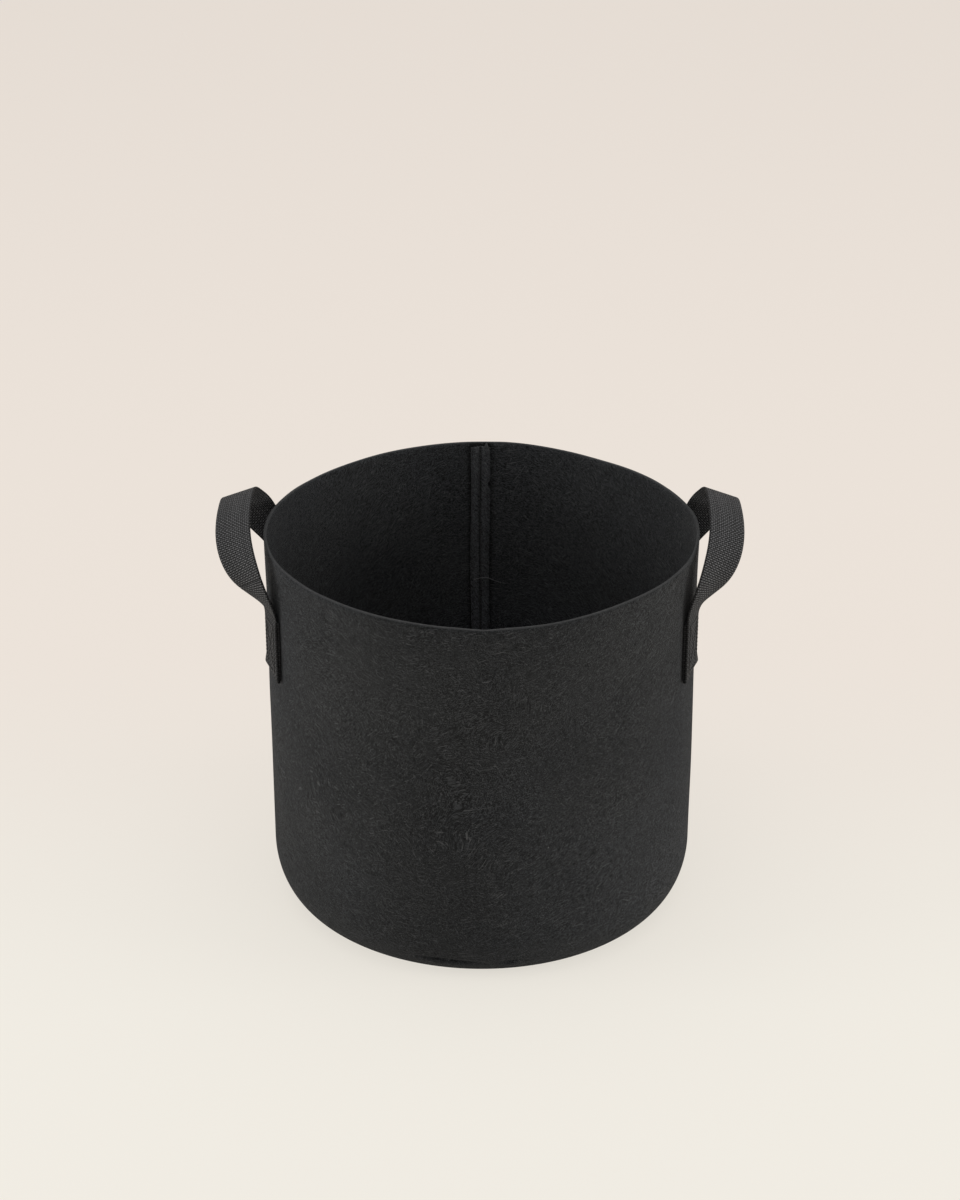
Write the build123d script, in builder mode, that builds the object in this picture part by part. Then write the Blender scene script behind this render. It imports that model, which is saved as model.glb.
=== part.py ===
"""Fabric grow bag: a round felt planting bag with two webbing carrying handles.

Millimetres, +Z up, origin at the centre of the underside. The front faces -Y, the side seam
runs down the inside at +Y, and the handles stand at -X and +X.
"""
import os
from math import atan, ceil, cos, degrees, pi, radians, sin, sqrt, tan

from build123d import *

os.makedirs("parts", exist_ok=True)

# Felt bag
BAG_DIAMETER = 300.0          # outside, at the rim
BAG_HEIGHT = 273.0
FELT = 2.0                    # nonwoven felt, one ply
CORNER_RUN = 23.0             # how far the soft bottom corner curves in
CORNER_RISE = 36.0            # how far up the wall that curve starts
FOLD_DEPTH = 7.8              # how far the flat-packing folds push the rim out, front and back
FOLD_SHARPNESS = 8            # power of the fold's shape round the rim
CORNER_BANDS = 5              # up the soft bottom corner
WALL_BANDS = 4                # up the rest of the wall
SECTION_POINTS = 24           # points round each section

# Base seam: the wall's and the base's margins stand up side by side inside the bag
SEAM_MARGIN = 11.0
MARGIN_BEND = 1.2             # corner taken off where a margin is turned up
MARGIN_FLAT = 0.3             # flat felt between that bend and the bottom corner's curve
PLY_GAP = 0.2                 # between plies of felt or webbing that lie together

# Side seam: both allowances are folded to one side and topstitched down the middle
LOWER_ALLOWANCE = 14.0        # width of the ply against the wall
UPPER_ALLOWANCE = 11.5        # width of the ply over it
PRESSED_PLY = 1.7             # thickness of an allowance under its topstitching
ALLOWANCE_BELOW_RIM = 2.5
ALLOWANCE_FOOT = -70.0        # where the allowances end on the bottom corner's curve, degrees
ALLOWANCE_SINK = 0.5          # overlap that makes wall and allowances one piece of felt

# Webbing handles
WEBBING_WIDTH = 25.4
WEBBING = 1.7                 # thickness, one ply
END_ANGLE = 20.5              # each sewn end's centre, from the handle's side of the bag
END_BELOW_RIM = 40.5
END_LENGTH = 44.0
END_LIFT = 0.15               # webbing to felt
TURNED_UNDER = 38.0           # length of the end folded in behind
FOLD_CORNER = 1.0             # corners off the pressed fold at its foot
LOOP_RISE = 66.0              # crest of the handle above its sewn ends
LOOP_SQUARENESS = 2.6         # 2 is an ellipse, more is squarer
LEFT_LEAN = 24.0              # how far out each crest stands from its sewn ends
RIGHT_LEAN = 21.0
CREST_SLOPE = 15.0            # the webbing's flat slopes down outwards at the crest
FOOT_RUN = 4.0                # straight webbing past the fold line, before it is trimmed
RAISE_ANGLE = 10.0            # the handle swings up this far before it meets the bag
TWIST_LEAD = 1.6              # more puts more of the webbing's quarter turn low down
LEG_SECTIONS = 10
ARCH_STEP = 0.01              # arch angle either side of a section, to find its direction
SWING_GAP = 0.4               # handle to sewn end, at the fold line they share

# Thread
STITCH_PITCH = 4.0
BASE_STITCH_PITCH = 12.0
STITCH_LENGTH = 2.9
STITCH_WIDTH = 0.8
STITCH_THICKNESS = 0.35
THREAD_LIFT = 0.05            # thread to the cloth under it
BOX_INSET = 6.0               # stitched box, in from the sewn end's edges
CROSS_SPAN = 0.88             # cross inside the box, as a share of the box's diagonals
SIDE_ROW_MARGIN = 5.0         # ends of the side row, from the rim and from the base margin
BASE_ROW_BELOW_EDGE = 4.0     # base row, under the margin's raw edge

RADIUS = BAG_DIAMETER / 2
FOLD_SLOPE = FOLD_DEPTH / (BAG_HEIGHT - CORNER_RISE)
SEAM_RADIUS = RADIUS - CORNER_RUN
FOOT_RADIUS = SEAM_RADIUS + MARGIN_BEND + MARGIN_FLAT
MARGIN_FACE = SEAM_RADIUS + FELT
BASE_RADIUS = SEAM_RADIUS - PLY_GAP
SIDE_SEAM_INSET = FELT + 2 * PRESSED_PLY
ALLOWANCE_TOP = BAG_HEIGHT - ALLOWANCE_BELOW_RIM
END_INNER = RADIUS + END_LIFT
END_OUTER = END_INNER + 2 * WEBBING + PLY_GAP
END_TOP = BAG_HEIGHT - END_BELOW_RIM
END_BOTTOM = END_TOP - END_LENGTH
END_ARC = degrees(WEBBING_WIDTH / END_OUTER)
STITCH_REACH = THREAD_LIFT + STITCH_THICKNESS / 2


def fold_push(azimuth, height):
    """How far the packing folds push the wall out, at an azimuth in radians and a height."""
    if height <= CORNER_RISE:
        return 0.0
    return FOLD_SLOPE * (height - CORNER_RISE) * abs(sin(azimuth)) ** FOLD_SHARPNESS


def wall_reach(azimuth, height, inset):
    """Distance from the bag's axis to its wall, inset from the wall's outer face."""
    if height >= CORNER_RISE:
        return RADIUS - inset + fold_push(azimuth, height)
    share = (CORNER_RISE - height) / (CORNER_RISE - inset)
    return FOOT_RADIUS + (RADIUS - FOOT_RADIUS - inset) * sqrt(max(1 - share**2, 0))


def wall_outline(height, inset):
    """Points round the bag's wall at a height, inset from its outer face."""
    points = []
    for step in range(SECTION_POINTS):
        azimuth = 2 * pi * step / SECTION_POINTS
        reach = wall_reach(azimuth, height, inset)
        points.append((reach * cos(azimuth), reach * sin(azimuth)))
    return points


def corner_heights(inset):
    """Heights of the sections up the soft bottom corner, evenly spread along its curve."""
    turns = [pi / 2 * step / CORNER_BANDS for step in range(CORNER_BANDS + 1)]
    return [CORNER_RISE - (CORNER_RISE - inset) * cos(turn) for turn in turns]


def upright_plane(azimuth):
    """Plane through the Z axis. Its X runs outwards at the azimuth in degrees, its Y up."""
    turn = radians(azimuth)
    return Plane(
        origin=(0, 0, 0),
        x_dir=(cos(turn), sin(turn), 0),
        z_dir=(sin(turn), -cos(turn), 0),
    )


def corner_curve(inset):
    """Bottom corner's curve from the allowances' foot up, inset from the wall's outer face."""
    return EllipticalCenterArc(
        (FOOT_RADIUS, CORNER_RISE),
        RADIUS - FOOT_RADIUS - inset,
        CORNER_RISE - inset,
        ALLOWANCE_FOOT,
        arc_size=-ALLOWANCE_FOOT,
    )


def upright_heights():
    """Heights of the sections above the corner."""
    return [CORNER_RISE + (BAG_HEIGHT - CORNER_RISE) * step / WALL_BANDS for step in range(WALL_BANDS + 1)]


def fold_line(inset, top):
    """Upright line of the wall at the fold, inset from its outer face, up to a height."""
    return Line((RADIUS - inset, CORNER_RISE), (RADIUS - inset + fold_push(pi / 2, top), top))


# Wall: one strip of felt rolled into a tube, its ends folded in at the side seam and its
# lower edge turned up inside at the base seam
with BuildPart() as wall_panel:
    for inset, mode in ((0, Mode.ADD), (FELT, Mode.SUBTRACT)):
        for heights in (corner_heights(inset), upright_heights()):
            for height in heights:
                with BuildSketch(Plane.XY.offset(height)):
                    with BuildLine():
                        Spline(*wall_outline(height, inset), periodic=True)
                    make_face()
            loft(ruled=True, mode=mode)
    with BuildSketch():
        Circle(SEAM_RADIUS)
    extrude(amount=FELT, mode=Mode.SUBTRACT)
    with BuildSketch(Plane.XY.offset(FELT / 2)):
        Circle(MARGIN_FACE)
        Circle(SEAM_RADIUS, mode=Mode.SUBTRACT)
    extrude(amount=SEAM_MARGIN - FELT / 2)
    bend = wall_panel.edges().filter_by(GeomType.CIRCLE).group_by(Axis.Z)[0]
    chamfer(bend, MARGIN_BEND)
    for width, inset in ((LOWER_ALLOWANCE, FELT), (UPPER_ALLOWANCE, FELT + PRESSED_PLY)):
        with BuildSketch(Plane.YZ):
            with BuildLine():
                outer_curve = corner_curve(inset - ALLOWANCE_SINK)
                inner_curve = corner_curve(inset + PRESSED_PLY)
                outer_fold = fold_line(inset - ALLOWANCE_SINK, ALLOWANCE_TOP)
                inner_fold = fold_line(inset + PRESSED_PLY, ALLOWANCE_TOP)
                Line(outer_fold @ 1, inner_fold @ 1)
                Line(outer_curve @ 0, inner_curve @ 0)
            make_face()
        extrude(amount=width / 2, both=True)
wall_panel.part.label = "wall_panel"
export_step(wall_panel.part, "parts/wall_panel.step")

# Base: a felt disc with its own margin turned up against the wall's
with BuildPart() as base_panel:
    with BuildSketch(Plane.XZ) as profile:
        with BuildLine():
            Polyline(
                (0, 0),
                (BASE_RADIUS, 0),
                (BASE_RADIUS, SEAM_MARGIN),
                (BASE_RADIUS - FELT, SEAM_MARGIN),
                (BASE_RADIUS - FELT, FELT),
                (0, FELT),
                close=True,
            )
        make_face()
        chamfer(profile.vertices().group_by(Axis.Y)[0].sort_by(Axis.X)[-1], MARGIN_BEND)
    revolve(axis=Axis.Z)
base_panel.part.label = "base_panel"
export_step(base_panel.part, "parts/base_panel.step")

# Side seam thread: a row on the inside of the allowances and its back on the wall's outside
row_bottom = SEAM_MARGIN + SIDE_ROW_MARGIN + CORNER_RISE
row_top = ALLOWANCE_TOP - SIDE_ROW_MARGIN
side_count = int((row_top - row_bottom) / STITCH_PITCH)
with BuildPart() as side_seam_stitching:
    for inset, outwards in ((SIDE_SEAM_INSET, -1), (0, 1)):
        places = []
        for step in range(side_count + 1):
            height = row_bottom + step * STITCH_PITCH
            reach = RADIUS - inset + fold_push(pi / 2, height) + outwards * STITCH_REACH
            places.append(Location((0, reach, height), (-degrees(atan(FOLD_SLOPE)), 0, 0)))
        with Locations(*places):
            Box(STITCH_WIDTH, STITCH_THICKNESS, STITCH_LENGTH)
side_seam_stitching.part.label = "side_seam_stitching"
export_step(side_seam_stitching.part, "parts/side_seam_stitching.step")

# Base seam thread: a ring on the inside of the turned-up margins
base_row_radius = BASE_RADIUS - FELT - STITCH_REACH
base_count = int(2 * pi * base_row_radius / BASE_STITCH_PITCH)
with BuildPart() as base_seam_stitching:
    with Locations((0, 0, SEAM_MARGIN - BASE_ROW_BELOW_EDGE)):
        with PolarLocations(base_row_radius, base_count):
            Box(STITCH_THICKNESS, STITCH_LENGTH, STITCH_WIDTH)
base_seam_stitching.part.label = "base_seam_stitching"
export_step(base_seam_stitching.part, "parts/base_seam_stitching.step")

# Sewn ends: webbing turned under and sewn flat on the wall with a crossed box of thread
turned_top = END_BOTTOM + TURNED_UNDER
box_across = WEBBING_WIDTH / 2 - BOX_INSET
box_up = END_LENGTH / 2 - BOX_INSET
box_middle = (END_TOP + END_BOTTOM) / 2
box_rows = [
    ((-box_across, -box_up), (box_across, -box_up)),
    ((box_across, -box_up), (box_across, box_up)),
    ((box_across, box_up), (-box_across, box_up)),
    ((-box_across, box_up), (-box_across, -box_up)),
]
for slant in (1, -1):
    cross_end = (box_across * CROSS_SPAN, slant * box_up * CROSS_SPAN)
    box_rows.append(((-cross_end[0], -cross_end[1]), cross_end))
end_azimuths = {
    "left_front": 180 + END_ANGLE,
    "left_rear": 180 - END_ANGLE,
    "right_front": -END_ANGLE,
    "right_rear": END_ANGLE,
}
for place, azimuth in end_azimuths.items():
    with BuildPart() as sewn_end:
        with BuildSketch(upright_plane(azimuth - END_ARC / 2)):
            with BuildLine():
                Polyline(
                    (END_OUTER, END_TOP),
                    (END_OUTER, END_BOTTOM + FOLD_CORNER),
                    (END_OUTER - FOLD_CORNER, END_BOTTOM),
                    (END_INNER + FOLD_CORNER, END_BOTTOM),
                    (END_INNER, END_BOTTOM + FOLD_CORNER),
                    (END_INNER, turned_top),
                    (END_INNER + WEBBING, turned_top),
                    (END_INNER + WEBBING, END_BOTTOM + WEBBING),
                    (END_OUTER - WEBBING, END_BOTTOM + WEBBING),
                    (END_OUTER - WEBBING, END_TOP),
                    close=True,
                )
            make_face()
        revolve(axis=Axis.Z, revolution_arc=END_ARC)
    sewn_end.part.label = f"{place}_sewn_end"
    export_step(sewn_end.part, f"parts/{place}_sewn_end.step")

    places = []
    thread_radius = END_OUTER + STITCH_REACH
    for start, finish in box_rows:
        across = finish[0] - start[0]
        rise = finish[1] - start[1]
        length = sqrt(across**2 + rise**2)
        count = ceil((length - STITCH_PITCH / 2) / STITCH_PITCH)
        for step in range(count):
            share = (step + 0.5) / count
            turn = radians(azimuth) + (start[0] + share * across) / thread_radius
            outwards = Vector(cos(turn), sin(turn), 0)
            along = Vector(-sin(turn), cos(turn), 0) * (across / length) + Vector(0, 0, rise / length)
            spot = outwards * thread_radius + Vector(0, 0, box_middle + start[1] + share * rise)
            places.append(Plane(origin=spot, x_dir=along, z_dir=outwards))
    with BuildPart() as box_stitching:
        with Locations(*places):
            Box(STITCH_LENGTH, STITCH_WIDTH, STITCH_THICKNESS)
    box_stitching.part.label = f"{place}_box_stitching"
    export_step(box_stitching.part, f"parts/{place}_box_stitching.step")

# Handles: webbing that leaves its sewn ends leaning out, turns flat side up and arches over.
# The arch is a superellipse between the sewn ends, and the lean follows a quarter sine.
# The fold line that both legs swing about passes the sewn ends' outermost top corners.
hinge_reach = END_OUTER * cos(radians(END_ANGLE - END_ARC / 2))
width_bulge = END_OUTER * (1 - cos(radians(END_ARC / 2)))


def foot_tilt(lean):
    """Angle in radians by which the webbing leaves its sewn end, away from the wall."""
    return atan(lean * pi / 2 / LOOP_RISE / cos(radians(END_ANGLE)))


def arch_point(angle, facing, lean):
    """Centre of the webbing at an arch angle: 0 is the front sewn end, pi the rear one."""
    rise = abs(sin(angle)) ** (2 / LOOP_SQUARENESS)
    spread = abs(cos(angle)) ** (2 / LOOP_SQUARENESS)
    tilt = foot_tilt(lean)
    foot_radius = END_OUTER - width_bulge - WEBBING / 2 * cos(tilt)
    foot_height = END_TOP + WEBBING / 2 * sin(tilt)
    flare = lean * tan(radians(END_ANGLE)) / 2
    reach = foot_radius * cos(radians(END_ANGLE)) + lean * sin(pi / 2 * rise)
    apart = foot_radius * sin(radians(END_ANGLE)) * spread + flare * sin(pi * rise)
    return Vector(facing * reach, -apart if angle < pi / 2 else apart, foot_height + LOOP_RISE * rise)


def arch_plane(angle, facing, lean):
    """Plane across the webbing at an arch angle: its X runs across the webbing's width."""
    ahead = arch_point(min(angle + ARCH_STEP, pi), facing, lean)
    behind = arch_point(max(angle - ARCH_STEP, 0), facing, lean)
    tangent = (ahead - behind).normalized()
    rise = min(abs(sin(angle)) ** (2 / LOOP_SQUARENESS), 1)
    turned = 1 - (1 - rise) ** TWIST_LEAD
    inwards = 1 if angle < pi / 2 else -1
    foot_edge = Vector(facing * sin(radians(END_ANGLE)), inwards * cos(radians(END_ANGLE)), 0)
    crest_edge = Vector(facing * cos(radians(CREST_SLOPE)), 0, -sin(radians(CREST_SLOPE)))
    edge = foot_edge * (1 - turned) + crest_edge * turned
    edge = (edge - tangent * edge.dot(tangent)).normalized()
    return Plane(origin=arch_point(angle, facing, lean), x_dir=edge, z_dir=tangent)


for side, facing, lean in (("left", -1, LEFT_LEAN), ("right", 1, RIGHT_LEAN)):
    stations = [arch_plane(pi / 2 * step / LEG_SECTIONS, facing, lean) for step in range(2 * LEG_SECTIONS + 1)]
    stations.insert(0, stations[0].offset(-FOOT_RUN))
    stations.append(stations[-1].offset(FOOT_RUN))
    trim_line = Plane(
        origin=(facing * hinge_reach, 0, END_TOP + SWING_GAP),
        z_dir=(facing * sin(radians(RAISE_ANGLE)), 0, cos(radians(RAISE_ANGLE))),
    )
    with BuildPart() as handle:
        for station in stations:
            with BuildSketch(station):
                Rectangle(WEBBING_WIDTH, WEBBING)
        loft(ruled=True)
        split(bisect_by=trim_line, keep=Keep.TOP)
    handle.part.label = f"{side}_handle"
    export_step(handle.part, f"parts/{side}_handle.step")
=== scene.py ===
"""Fabric grow bag: a felt planting bag with two webbing carrying handles, dressed for rendering.

Metres, +Z up, origin at the centre of the underside. The front faces -Y, the side seam runs
down the inside at +Y, and the handles stand at -X and +X.
"""
import random
from math import atan2, ceil, cos, exp, hypot, pi, radians, sin, sqrt, tan

import bmesh
import bpy
from mathutils import Matrix, Vector, noise


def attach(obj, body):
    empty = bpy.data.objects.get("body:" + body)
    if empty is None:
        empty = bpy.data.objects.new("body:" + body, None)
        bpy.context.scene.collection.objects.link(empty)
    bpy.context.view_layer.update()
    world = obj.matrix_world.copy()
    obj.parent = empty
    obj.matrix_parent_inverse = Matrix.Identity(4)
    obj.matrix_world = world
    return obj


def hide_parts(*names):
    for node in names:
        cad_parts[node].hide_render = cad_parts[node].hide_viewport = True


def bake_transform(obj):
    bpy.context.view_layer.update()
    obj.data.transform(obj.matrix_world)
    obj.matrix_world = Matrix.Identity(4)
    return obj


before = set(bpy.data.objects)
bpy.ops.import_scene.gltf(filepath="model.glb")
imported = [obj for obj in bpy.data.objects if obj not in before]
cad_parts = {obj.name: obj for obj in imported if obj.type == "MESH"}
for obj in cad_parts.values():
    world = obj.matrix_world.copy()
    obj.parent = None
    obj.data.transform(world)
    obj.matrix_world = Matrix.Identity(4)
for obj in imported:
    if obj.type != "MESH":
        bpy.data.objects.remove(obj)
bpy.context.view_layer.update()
random.seed(7)

# Felt wall, as in the part's source: its outer face, the rounded corner at its foot, and the
# folds that flat packing leaves at the front and the back
RADIUS = 0.150
FOOT_RADIUS = 0.1285
HEIGHT = 0.273
CORNER_RISE = 0.036
FELT = 0.002
FOLD_DEPTH = 0.0078
FOLD_SHARPNESS = 8

# Base seam: the margins of wall and base stand up together inside the bag, sewn at BASE_ROW
SEAM_RADIUS = 0.127
BASE_RADIUS = 0.1268
SEAM_MARGIN = 0.011
MARGIN_BEND = 0.0012
BASE_ROW = 0.007

# Side seam: two allowances pressed against the inside, with a row of stitches down them. The seam
# stands SEAM_SHIFT to the right of the back's middle and sways by SEAM_SWAY radians to the metre.
LOWER_ALLOWANCE = 0.014
UPPER_ALLOWANCE = 0.0115
PRESSED_PLY = 0.0017
ALLOWANCE_TOP = 0.2705
ALLOWANCE_FOOT = 0.0065
SIDE_ROW_FOOT = 0.047
SIDE_ROW_TOP = ALLOWANCE_TOP - 0.004
SEAM_SHIFT = -0.0010
SEAM_SWAY = 46

# Slack of the felt wall: for each wave its turns of noise across the bag and up a metre, the
# place where the noise is read, and the depth
SLACK_WAVES = ((1.9, 7, 0, 0.0016), (5.0, 16, 3, 0.0005))

# Crease down the front fold
CREASE_AZIMUTH = -pi / 2 + 0.012
CREASE_WIDTH = 0.0045
CREASE_RISE = 0.0009

# Tuck low on the front: middle and half length of its two pieces, the line that it follows,
# which rises to both sides of TUCK_MIDDLE, its groove, and the lip under it
LONG_TUCK = (-0.0235, 0.031)
SHORT_TUCK = (0.0215, 0.012)
TUCK_HEIGHT = 0.0134
TUCK_SLOPE = 0.04
TUCK_MIDDLE = 0.006
TUCK_WIDTH = 0.0010
TUCK_DEPTH = 0.0026
LIP_DROP = 0.0042
LIP_WIDTH = 0.0028
LIP_RISE = 0.0012

# Rim: its waves, the dip at the front fold, and the height from which the wall moves with it
RIM_WAVE = 0.0007
RIM_DIP = 0.0006
RIM_FOOT = 0.2

# Base: it lifts off the floor here and there within BASE_FREE
BASE_FREE = 0.115
BASE_LIFT = 0.0006

# Relief of the seam's allowances: puffed beside the stitches, drawn in under them, puckered,
# curled and tucked at the top, with a small tip that stands up
PLY_PUFF = 0.00055
ROW_GROOVE = 0.0005
COARSE_PUCKER = 0.0005
FINE_PUCKER = 0.0007
EDGE_CURL = 0.0006
CORNER_CURL = 0.0014
PLY_TUCK = 0.0013
PLY_TIP = 0.0042

# Webbing and its sewn ends, as in the part's source
WEBBING_WIDTH = 0.0254
WEBBING = 0.0017
END_ANGLE = radians(20.5)
END_TOP = 0.2325
END_BOTTOM = 0.1885
END_INNER = 0.15015
END_OUTER = 0.15375
END_ARC = WEBBING_WIDTH / END_OUTER
END_BULGE = END_OUTER * (1 - cos(END_ARC / 2))
END_AZIMUTHS = {
    "left_front": pi + END_ANGLE,
    "left_rear": pi - END_ANGLE,
    "right_front": -END_ANGLE,
    "right_rear": END_ANGLE,
}
TURNED_UNDER = 0.042
BOX_INSET = 0.0045
CROSS_SPAN = 0.85

# Sewn ends, as cloth: the foot, as far up as FOOT_REACH, is folded askew, the ply under it
# shows beside it, and one corner stands off the felt. The face stops just short of the hinge.
FOOT_REACH = 0.024
FOOT_SLANT = 0.0032
UNDER_SHIFT = 0.0012
CORNER_LIFT = 0.0011
FACE_STOP = 0.0006

# Loops. They stand a little lower than the part's plain ones, and lean out later.
LOOP_RISE = 0.060
LOOP_SQUARENESS = 2.35
LEFT_LEAN = 0.026
RIGHT_LEAN = 0.0235
LEAN_DELAY = 1.43
CREST_SLOPE = radians(19)
TWIST_LEAD = 1.2

# Threads. A stitch's ends dip under its middle by STITCH_DIP of its width.
STITCH_PITCH = 0.003
STITCH_LENGTH = 0.0026
STITCH_DIP = 0.22
THREAD = 0.0007
BOX_THREAD = 0.0012
THREAD_END = 0.00022

# Fineness of the felt's meshes
WALL_COLUMNS = 288
WALL_ROWS = 78
CORNER_ROWS = 44
MARGIN_ROWS = 4
BASE_COLUMNS = 192
BASE_RINGS = 22
ALLOWANCE_COLUMNS = 14
ALLOWANCE_ROWS = 150

# Fineness of the webbing's mesh. The arch is walked in fine steps, and a row is kept at each
# ARCH_SPACING but for the BEND_ROWS next to the sewn ends, where smoothing rounds the bend.
FACE_COLUMNS = 12
UNDER_ROWS = 34
FOLD_ROWS = 8
FACE_ROWS = 36
ARCH_STEPS = 900
ARCH_SPACING = 0.0011
BEND_ROWS = 3
SMOOTH_REACH = 4
SMOOTH_PASSES = 6

# Place of each cloth in the flat map, in metres, so that no two share their fibres, the length
# that a ply of the seam takes up there, and the slope at which the wall's round corner runs on
WALL_MAP_START = 0.5
PLY_MAP_MIDDLE = 1
PLY_MAP_LENGTH = 0.27
BASE_MAP_SHIFT = 2
WEBBING_MAP_MIDDLE = WEBBING_WIDTH
CORNER_MAP_SLOPE = 0.6

# Fibres that lie one way: turn in degrees, number to the metre, length for their width, and
# the levels of noise where they begin and where they are full
COMBED_NAP = ((4, 3400, 15, 0.42, 0.60), (-22, 3200, 13, 0.44, 0.62))
LOOSE_NAP = (70, 3100, 9, 0.44, 0.62)
COMBED_HAIRS = (12, 1650, 24, 0.64, 0.69)
LOOSE_HAIRS = ((8, 1500, 24, 0.63, 0.68), (-50, 1600, 22, 0.64, 0.69))

# Drift of the fibres' lay: number of turns to the metre, and reach of each
COMBED_DRIFT = ((14.0, 0.02), (60.0, 0.004))
LOOSE_DRIFT = ((5.0, 0.16), (26.0, 0.022))

# The main lay sags between the bag's sides by FIBRE_SAG. At the front the combed fibres give
# way by FRONT_LOOSENED, and FRONT_FILL keeps the nap as light there as elsewhere. Fibres and a
# grain of GRAIN cells to the metre share in the nap.
FIBRE_SAG = 0.20
FRONT_LOOSENED = 0.58
FRONT_FILL = 0.30
GRAIN = 4200.0
NAP_SHARE = 0.26
GRAIN_SHARE = 0.25

# Weave: its yarns, and the distance from the loop's crest beyond which the strip gets painted shade
# towards its sewn ends
YARN_PITCH = 0.0015
LOOP_HALF = 0.100
END_SHADE_FROM = LOOP_HALF - 0.035

# Colours
FELT_DARK = (0.0200, 0.0209, 0.0218, 1)
FELT_LIGHT = (0.0278, 0.0286, 0.0290, 1)
PRESSED_DARK = (0.0380, 0.0390, 0.0405, 1)
PRESSED_LIGHT = (0.0530, 0.0545, 0.0560, 1)
NEUTRAL_CAST = (0.995, 0.995, 1.01, 1)
COOL_CAST = (0.975, 0.995, 1.05, 1)
HAIR = (0.110, 0.112, 0.114, 1)
SPECK = (0.40, 0.40, 0.39, 1)
CUT_EDGE = (0.050, 0.051, 0.052, 1)
YARN = (0.150, 0.150, 0.154, 1)
YARN_GAP = (0.001, 0.001, 0.001, 1)
STITCH = (0.022, 0.022, 0.023, 1)
LOOSE_END = (0.16, 0.16, 0.16, 1)
FLOOR_NEAR = (0.902, 0.865, 0.793, 1)
FLOOR_BEHIND = (0.864, 0.791, 0.722, 1)
FLOOR_FAR = (0.864, 0.790, 0.722, 1)
SKY_LIGHT = (0.56, 0.56, 0.56, 1)
SKY_SEEN = (0.81, 0.74, 0.67, 1)

# Floor. FLOOR_GLOW is the share of it that shows its own colour, whatever falls on it.
FLOOR_RADIUS = 9
FLOOR_GAP = 0.0004
FLOOR_GLOW = 0.75


def add_piece(name, shape, material):
    """A smooth mesh object made from a finished bmesh, at the origin."""
    mesh = bpy.data.meshes.new(name)
    for face in shape.faces:
        face.smooth = True
    shape.to_mesh(mesh)
    shape.free()
    mesh.materials.append(material)
    piece = bpy.data.objects.new(name, mesh)
    bpy.context.scene.collection.objects.link(piece)
    return piece


def thicken(piece, thickness):
    """Gives a cloth its thickness, behind the face that was drawn."""
    ply = piece.modifiers.new("ply", "SOLIDIFY")
    ply.thickness = thickness
    ply.offset = -1
    ply.use_even_offset = True


# ---------------------------------------------------------------- camera and lamps

def aim_camera():
    """A long lens, above the front of the bag and looking down into it."""
    lens = bpy.data.cameras.new("camera")
    lens.lens = 74.83
    lens.sensor_width = 36
    lens.clip_end = 60
    camera = bpy.data.objects.new("camera", lens)
    camera.location = (-0.0012, -1.5686, 0.9757)
    downward = 0.450
    camera.rotation_euler = (pi / 2 - downward, 0, 0)
    bpy.context.scene.collection.objects.link(camera)
    bpy.context.scene.camera = camera


def soft_light(name, place, target, size, power, colour):
    """A square lamp at a place, turned to its target."""
    light = bpy.data.lights.new(name, "AREA")
    light.shape = "SQUARE"
    light.size = size
    light.energy = power
    light.color = colour
    lamp = bpy.data.objects.new(name, light)
    lamp.location = place
    lamp.rotation_euler = (Vector(target) - Vector(place)).to_track_quat("-Z", "Y").to_euler()
    bpy.context.scene.collection.objects.link(lamp)


aim_camera()
soft_light("left window", (-2.6, -0.45, 0.75), (0, 0, 0.15), 1.3, 26, (1, 0.99, 0.97))
soft_light("right window", (2.6, -0.45, 0.75), (0, 0, 0.15), 1.3, 25, (1, 0.98, 0.95))
soft_light("ceiling panel", (0, -0.2, 2.8), (0, 0, 0), 2.4, 17, (1, 1, 1))
bpy.context.scene.view_settings.view_transform = "Standard"


# ---------------------------------------------------------------- backdrop and materials

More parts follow.
